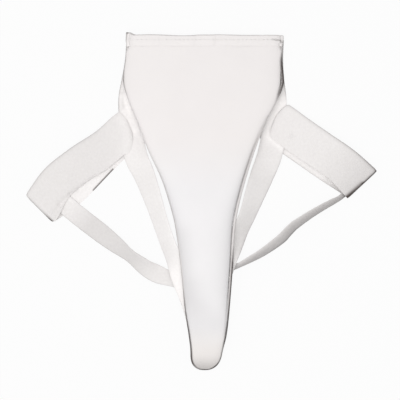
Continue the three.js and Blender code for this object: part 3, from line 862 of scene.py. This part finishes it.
def elastic_webbing(name, colour, shade, depth, rough, sheen):
    """Knitted elastic: fine ribs over the rubber along it, crossed by the knit's rows of loops."""
    n = Nodes(name)
    across, along, place = n.place_on_cloth()
    ribs = n.math("ABSOLUTE", n.wave(across, KNIT["rib"]))
    bowed = n.math("ADD", along, n.math("MULTIPLY", n.wave(across, KNIT["bow"]), KNIT["bow_deep"]))
    loops = n.math("MULTIPLY", n.wave(bowed, KNIT["loop"]), KNIT["loop_height"])
    fuzz = n.math("MULTIPLY", n.noise(place, KNIT_FUZZ["size"]), KNIT_FUZZ["height"])
    height = n.math("ADD", n.math("ADD", ribs, loops), fuzz)
    mottle = n.noise(place, KNIT_MOTTLE["size"], KNIT_MOTTLE["detail"])
    patch = n.math("SUBTRACT", n.noise(place, KNIT_MOTTLE["patch"]), KNIT_MOTTLE["middle"])
    patches = n.math("ADD", mottle, n.math("MULTIPLY", patch, KNIT_MOTTLE["share"]))
    return n.finish((*colour, 1), (*shade, 1), patches, height, depth, rough, sheen)


elastic = elastic_webbing(
    "knitted_elastic", ELASTIC_COLOUR, ELASTIC_SHADE, depth=0.09, rough=0.88, sheen=0.2
)


def webbing(name, rows, size, tones, seed, hand=0, creases=(), tone_streaks=(), cup=0.0, edge=18):
    """Flat webbing along a table of rows, with thinner, slightly wavy edges, nowhere below the table top.
    Roll lifts the edge on the side of hand, or the edge whose plan direction is a sixth column of the rows.
    Creases are streaks that lift it, the other streaks and the tone table paint shade or light on it, cup is
    how far a rolled strap's middle stands out, and a high edge keeps the painted shade of its edges narrow."""
    table = np.array(rows, float)
    places = run_length(table[:, :3], 0)
    at = smooth(table, places)
    stops = np.linspace(0, places[-1], round(places[-1] / WEBBING["step"]))
    row = at(stops)
    roll = np.radians(row[:, 3])
    half = size["width"] / 2 * row[:, 4]
    low = size["thick"] / 2 * np.cos(roll) + half * np.abs(np.sin(roll))
    middle = np.column_stack([row[:, :2], np.maximum(row[:, 2], low)])
    run = unit(at(stops + WEBBING["ahead"])[:, :3] - at(stops - WEBBING["ahead"])[:, :3])
    if hand:
        lay = np.arctan2(run[:, 1], run[:, 0]) + hand * np.pi / 2
    else:
        lay = np.radians(row[:, 5])
    across = np.stack([np.cos(lay) * np.cos(roll), np.sin(lay) * np.cos(roll), np.sin(roll)], -1)
    up = unit(np.cross(run, across))
    share = np.sin(np.linspace(-np.pi / 2, np.pi / 2, 2 * round(size["width"] / 2) + 1))
    thinned = np.minimum(1, WEBBING["gathered"] + (1 - WEBBING["gathered"]) * row[:, 4:5])
    face = size["thick"] / 2 * thinned * (1 - SELVEDGE["thinner"] * np.abs(share) ** SELVEDGE["round"])
    wave = ripple(stops, LIFTED_EDGE_WAVE, seed)[:, None] * np.maximum(share, 0) ** 2
    wave = wave + ripple(stops, LOW_EDGE_WAVE, seed + 1)[:, None] * np.maximum(-share, 0) ** 2
    frayed = half + ripple(stops, FRAY, seed + 2)
    sheet = middle[:, None] + across[:, None] * (frayed[:, None] * share)[..., None]
    wave = wave + streaks(sheet, creases) - cup * (1 - share**2) * np.sin(roll)[:, None] ** 2
    top = sheet + up[:, None] * (wave + face)[..., None]
    bottom = sheet + up[:, None] * (wave - face)[..., None]
    rings = there_and_back(top, bottom)
    rings[..., 2] = np.maximum(rings[..., 2], WEBBING["lowest"])
    place = np.stack(np.broadcast_arrays(share * size["width"] / 2, stops[:, None]), -1)
    # The tone table and the streaks paint shade over the face and along each edge, and painted light where
    # they run negative.
    tones = np.array(tones, float)
    face_grey, low_grey, high_grey = [
        np.interp(stops / stops[-1], tones[:, 0], column)[:, None] for column in tones.T[1:]
    ]
    edge_grey = np.where(share < 0, low_grey, high_grey) * np.abs(share) ** edge
    painted_tone = np.clip(face_grey + edge_grey + streaks(sheet, tone_streaks), 0, 1)
    along = there_and_back(place, place)
    return piece(name, rings, along, elastic, there_and_back(painted_tone, painted_tone))


side_left = webbing(
    "side_strap_left_elastic", SIDE_STRAP_LEFT, SIDE_STRAP, SIDE_SHADE_LEFT,
    seed=11, hand=1, creases=SIDE_CREASES_LEFT, tone_streaks=SIDE_LIGHT_AND_SHADE_LEFT,
)
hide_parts("side_strap_left")
side_right = webbing(
    "side_strap_right_elastic", SIDE_STRAP_RIGHT, SIDE_STRAP, SIDE_SHADE_RIGHT,
    seed=21, hand=-1, tone_streaks=SIDE_PAINTED_LIGHT_RIGHT,
)
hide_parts("side_strap_right")

# Leg straps. Narrower elastic of the same knit, from under the belt at each hip to the back of the pouch.
# The left one lies over on its side for a stretch, and the right one stands nearly on edge.
# Both are gathered where they go in behind the pouch, and the right one also where it leaves the belt.
LEG_STRAP = {"width": 19.5, "thick": 1.2}
LEG_STRAP_LEFT = [
    (-148.5, 4.8, 2.5, 0, 1),
    (-134.2, -6.2, 2.5, 0, 1),
    (-119.7, -17.9, 2.2, 2, 1),
    (-104.2, -29.8, 2.4, 8, 1),
    (-87.0, -43.2, 5.6, 30, 1),
    (-71.5, -55.3, 8.2, 50, 1),
    (-57.0, -66.6, 6.2, 35, 1),
    (-45.0, -73.2, 3.6, 14, 0.95),
    (-33.0, -77.6, 2.6, 0, 0.79),
    (-21.7, -80.6, 5.8, 0, 0.74),
    (-10.0, -83.2, 11.4, 0, 0.74),
]
LEG_STRAP_RIGHT = [
    (148.0, 20.0, 3.0, 0, 0.62),
    (144.2, 9.2, 3.8, 35, 0.42),
    (139.4, 4.0, 4.8, 62, 0.5),
    (131.4, -0.5, 8.2, 68, 0.74),
    (119.9, -6.7, 9.9, 71, 1),
    (105.1, -15.9, 9.7, 67, 1),
    (90.7, -26.3, 9.5, 62, 1),
    (79.8, -37.6, 9.5, 60, 1),
    (61.6, -50.9, 9.6, 66, 1),
    (47.2, -59.0, 8.9, 69, 0.85),
    (36.0, -64.6, 8.4, 68, 0.6),
    (26.0, -68.6, 9.6, 40, 0.5),
    (16.0, -73.4, 13.0, 6, 0.74),
]
# The left leg strap is greyer over its middle.
LEG_GREY_LEFT = [
    (0, 0.12, 0.2, 0.1),
    (0.1, 0.14, 0.2, 0.1),
    (0.28, 0.3, 0.2, 0.1),
    (0.6, 0.25, 0.25, 0.1),
    (0.8, 0.15, 0.25, 0.1),
    (1, 0.08, 0.2, 0),
]
# Painted shade on the right one's face and low edge, turned from the light, and a painted highlight on its
# lifted edge.
LEG_SHADE_AND_HIGHLIGHT_RIGHT = [
    (0, 0.58, 0.6, -0.15),
    (0.3, 0.53, 0.65, -0.2),
    (0.6, 0.45, 0.65, -0.15),
    (0.75, 0.5, 0.7, -0.2),
    (0.88, 0.42, 0.8, -0.2),
    (1, 0.3, 0.9, -0.2),
]
LEG_CREASES_LEFT = [{"from": (-63, -52), "to": (-56, -58), "half": 1.8, "much": -0.7}]
leg_left = webbing(
    "leg_strap_left_elastic", LEG_STRAP_LEFT, LEG_STRAP, LEG_GREY_LEFT,
    seed=31, hand=1, creases=LEG_CREASES_LEFT,
)
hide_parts("leg_strap_left")
leg_right = webbing(
    "leg_strap_right_elastic", LEG_STRAP_RIGHT, LEG_STRAP, LEG_SHADE_AND_HIGHLIGHT_RIGHT,
    seed=41, hand=-1, cup=2.4, edge=2,
)
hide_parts("leg_strap_right")

# Waist belt. One band of wide elastic from the left side strap, round the back, to the right side strap.
# It is doubled over softly at both hips, and its ends are cut to a curve and sewn down on the side straps.
BELT = {"width": 38.0, "thick": 1.5}
BELT_NOSE = {"left": (12.2, -2.4), "right": (-5.2, 3.9), "steps": 5, "last": 0.97, "round": 0.7}
HIP_FOLD = {"radius": 3.7, "steps": 4}
HIP_FOLD_LEFT = {"x": -162.5, "y": -7.9, "lay": 135, "wide": 1.06, "side": 1, "corner": 0.12}
HIP_FOLD_RIGHT = {"x": 160.5, "y": 16.4, "lay": 43, "wide": 1.06, "side": -1, "corner": 0.01}
# Heights that only the belt's front runs have, and only its back run.
FRONT_RUN = (3, 60)
BACK_RUN = (0, 2)
# The bar tack on the right end draws the elastic into a small star.
BELT_TACK = [
    {"from": (86.3, 66.0), "to": (92.3, 61.4), "half": 0.9, "much": -0.8},
    {"from": (88.2, 60.6), "to": (90.2, 67.2), "half": 0.9, "much": -0.8},
    {"from": (86.4, 62.6), "to": (92.4, 65.2), "half": 0.9, "much": -0.6},
]
# The lower edge of the belt's left front run curls down to the run behind it.
BELT_LIP = [
    {"from": (-148.0, -14.0), "to": (-141.7, -4.2), "half": 3.0, "much": 1.7},
    {"from": (-141.0, -3.0), "to": (-131.7, 5.8), "half": 3.0, "much": 1.6},
    {"from": (-131.0, 6.4), "to": (-106.7, 22.8), "half": 2.5, "much": 1.4},
]
# The edge of its left end is pressed flat on to the side strap.
BELT_PRESSED = [
    {"from": (-82.5, 88.2), "to": (-76.0, 81.8), "half": 2.2, "much": 0.7},
    {"from": (-73.6, 78.2), "to": (-69.7, 68.4), "half": 2.2, "much": 0.7},
    {"from": (-69.0, 65.0), "to": (-70.8, 53.5), "half": 2.2, "much": 0.7},
]
# Both hip folds carry painted shade, most of all low down, and a stretch of the back run's lower edge a dark
# line.
# The left end is painted a little lighter, against the shade beside it.
BELT_LIGHT_AND_SHADE = [
    {"from": (160.5, 16.9), "to": (144.8, 3.2), "half": 2.2, "much": 0.6, "end": 0.75},
    {"from": (175.0, 30.0), "to": (161.5, 17.4), "half": 1.2, "much": 0.65, "end": 1.0},
    {"from": (-108.5, 10.8), "to": (-89.0, 31.6), "half": 0.9, "much": 0.8, "z": BACK_RUN},
    {"from": (-172.0, 1.5), "to": (-160.0, -10.5), "half": 0.9, "much": 0.3},
    {"from": (-160.0, -10.5), "to": (-149.0, -21.4), "half": 1.3, "much": 0.1, "end": 1.1},
    {"from": (-80.0, 85.0), "to": (-70.2, 70.5), "half": 3.5, "much": -0.05, "z": FRONT_RUN},
]
# Painted shade by share of the belt's length: how dark its face, low edge and waistward edge are painted.
BELT_SHADE = [
    (0, 0.12, 0, 0),
    (0.025, 0.18, 0, 0.1),
    (0.06, 0.22, 0, 0.25),
    (0.2, 0.22, 0, 0.25),
    (0.24, 0.1, 0, 0),
    (0.4, 0.1, 0, 0),
    (0.66, 0.02, 0, 0),
    (0.68, 0.02, 0.4, 0),
    (0.76, 0, 0.4, 0),
    (0.8, 0.3, 0.2, 0.7),
    (0.83, 0.32, 0, 0.7),
    (0.86, 0.24, 0, 0.5),
    (0.9, 0.17, 0, 0.4),
    (1, 0.13, 0, 0.3),
]
# Rows give the belt's middle, its roll, the share of its width, and the plan direction of its waistward edge.
BELT_FRONT_LEFT = [
    (-80.7, 67.4, 4.4, 0, 1.13, 98),
    (-99.7, 51.2, 6.2, 5, 1.02, 108),
    (-122.8, 36.0, 8.4, 13, 1, 119),
    (-145.0, 17.6, 8.7, 9, 1, 128),
]
BELT_FRONT_RIGHT = [
    (139.5, 36.6, 8.9, 5, 1, 48),
    (119.1, 50.6, 8.6, 7, 1, 53),
    (98.3, 65.0, 6.4, 4, 1, 56),
    (78.6, 79.6, 4.4, 0, 0.99, 60),
]
BELT_BACK = [
    (-134.2, 11.6, 0.75, 0, 1, 135),
    (-97.2, 49.1, 0.75, 0, 1, 133),
    (-66.0, 77.0, 0.75, 0, 1, 124),
    (-34.0, 97.0, 0.75, 0, 1, 107),
    (2.0, 103.5, 0.75, 0, 1, 90),
    (38.0, 97.0, 0.75, 0, 1, 73),
    (69.0, 78.5, 0.75, 0, 1, 60),
    (97.0, 59.3, 0.75, 0, 1, 55),
    (130.0, 36.4, 0.75, 0, 1, 52),
]


def hip_fold(fold):
    """Rows round a fold, from the upper run of the belt down to the lower one."""
    outward = math.radians(fold["lay"] + fold["side"] * 90)
    rows = []
    for i in range(HIP_FOLD["steps"] + 1):
        turn = math.pi * (0.5 - i / HIP_FOLD["steps"])
        out = HIP_FOLD["radius"] * (math.cos(turn) - 1)
        height = BELT["thick"] / 2 + HIP_FOLD["radius"] * (1 + math.sin(turn))
        place = (fold["x"] + math.cos(outward) * out, fold["y"] + math.sin(outward) * out, height)
        wide = fold["wide"] * (1 - fold["corner"] * math.cos(turn) ** 2)
        rows.append((*place, 0, wide, fold["lay"]))
    return rows


def belt_nose(end, reach):
    """Rows that narrow to a curve as they reach past the last row of the belt's run."""
    x, y, z, roll, wide, lay = end
    rows = []
    for i in range(BELT_NOSE["steps"]):
        share = BELT_NOSE["last"] * math.sin(math.pi / 2 * (i + 1) / BELT_NOSE["steps"])
        left = wide * (1 - share**2) ** BELT_NOSE["round"]
        rows.append((x + reach[0] * share, y + reach[1] * share, z, roll, left, lay))
    return rows


belt_rows = belt_nose(BELT_FRONT_LEFT[0], BELT_NOSE["left"])[::-1]
belt_rows += BELT_FRONT_LEFT + hip_fold(HIP_FOLD_LEFT) + BELT_BACK + hip_fold(HIP_FOLD_RIGHT)[::-1]
belt_rows += BELT_FRONT_RIGHT + belt_nose(BELT_FRONT_RIGHT[-1], BELT_NOSE["right"])
belt = webbing(
    "waist_belt_elastic",
    belt_rows,
    BELT,
    BELT_SHADE,
    seed=51,
    creases=[{**line, "z": FRONT_RUN} for line in BELT_TACK + BELT_LIP + BELT_PRESSED],
    tone_streaks=BELT_LIGHT_AND_SHADE,
)
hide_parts("waist_belt")

# Table top. A wide sheet that the guard lies on, of a plain pale matt finish.
# The picture shows it lit so brightly that it goes nearly white, with only a faint shadow on it.
TABLE = {"half": 4.0, "gap": 0.1, "pale": 0.75, "shadowed": 0.035, "glow": 0.94}
WHITE = (1, 1, 1, 1)
floor_mesh = bpy.data.meshes.new("table_top")
corners = [(a * TABLE["half"], b * TABLE["half"]) for a, b in ((-1, -1), (1, -1), (1, 1), (-1, 1))]
floor_mesh.from_pydata([(a, b, -TABLE["gap"] * MM) for a, b in corners], [], [(0, 1, 2, 3)])
floor_finish = Nodes("pale_table")
matt = floor_finish.add("BsdfDiffuse", Color=(*[TABLE["pale"]] * 3, 1))
shadowed = floor_finish.add("BsdfDiffuse", Color=(*[TABLE["shadowed"]] * 3, 1))
glow = floor_finish.add("Emission", Color=WHITE, Strength=TABLE["glow"])
bright = floor_finish.add("AddShader")
floor_finish.put(bright.inputs[0], shadowed.outputs[0])
floor_finish.put(bright.inputs[1], glow.outputs[0])
ray = floor_finish.add("LightPath")
shown = floor_finish.add("MixShader", Fac=ray.outputs["Is Camera Ray"])
floor_finish.put(shown.inputs[1], matt.outputs[0])
floor_finish.put(shown.inputs[2], bright.outputs[0])
floor_finish.put(floor_finish.tree.nodes["Material Output"].inputs[0], shown.outputs[0])
floor_mesh.materials.append(floor_finish.material)
floor = bpy.data.objects.new("table_top", floor_mesh)
bpy.context.scene.collection.objects.link(floor)

# Light and camera. Soft even light from all round, and a broad window of light a little left of overhead.
# The camera looks straight down from far above, so that a millimetre on the guard is a pixel of the picture.
SKY = 0.62
WINDOW = {"place": (-0.14, -0.05, 1.0), "size": 0.9, "watts": 6.4}
CAMERA = {"x": -1.7, "y": 0.8, "high": 3000.0, "plane": 10.0, "view": 400.0, "sensor": 36.0, "far": 20}
world = bpy.data.worlds.new("soft_light")
world.use_nodes = True
background = world.node_tree.nodes["Background"]
background.inputs["Color"].default_value = WHITE
background.inputs["Strength"].default_value = SKY
bpy.context.scene.world = world
window = bpy.data.objects.new("window_light", bpy.data.lights.new("window_light", "AREA"))
window.data.shape = "DISK"
window.data.size = WINDOW["size"]
window.data.energy = WINDOW["watts"]
window.location = WINDOW["place"]
window.rotation_euler = (-window.location).to_track_quat("-Z", "Y").to_euler()
bpy.context.scene.collection.objects.link(window)
camera = bpy.data.objects.new("camera", bpy.data.cameras.new("camera"))
camera.location = (CAMERA["x"] * MM, CAMERA["y"] * MM, CAMERA["high"] * MM)
camera.data.sensor_width = CAMERA["sensor"]
camera.data.lens = CAMERA["sensor"] * (CAMERA["high"] - CAMERA["plane"]) / CAMERA["view"]
camera.data.clip_end = CAMERA["far"]
bpy.context.scene.collection.objects.link(camera)
bpy.context.scene.camera = camera
bpy.context.scene.view_settings.view_transform = "Standard"
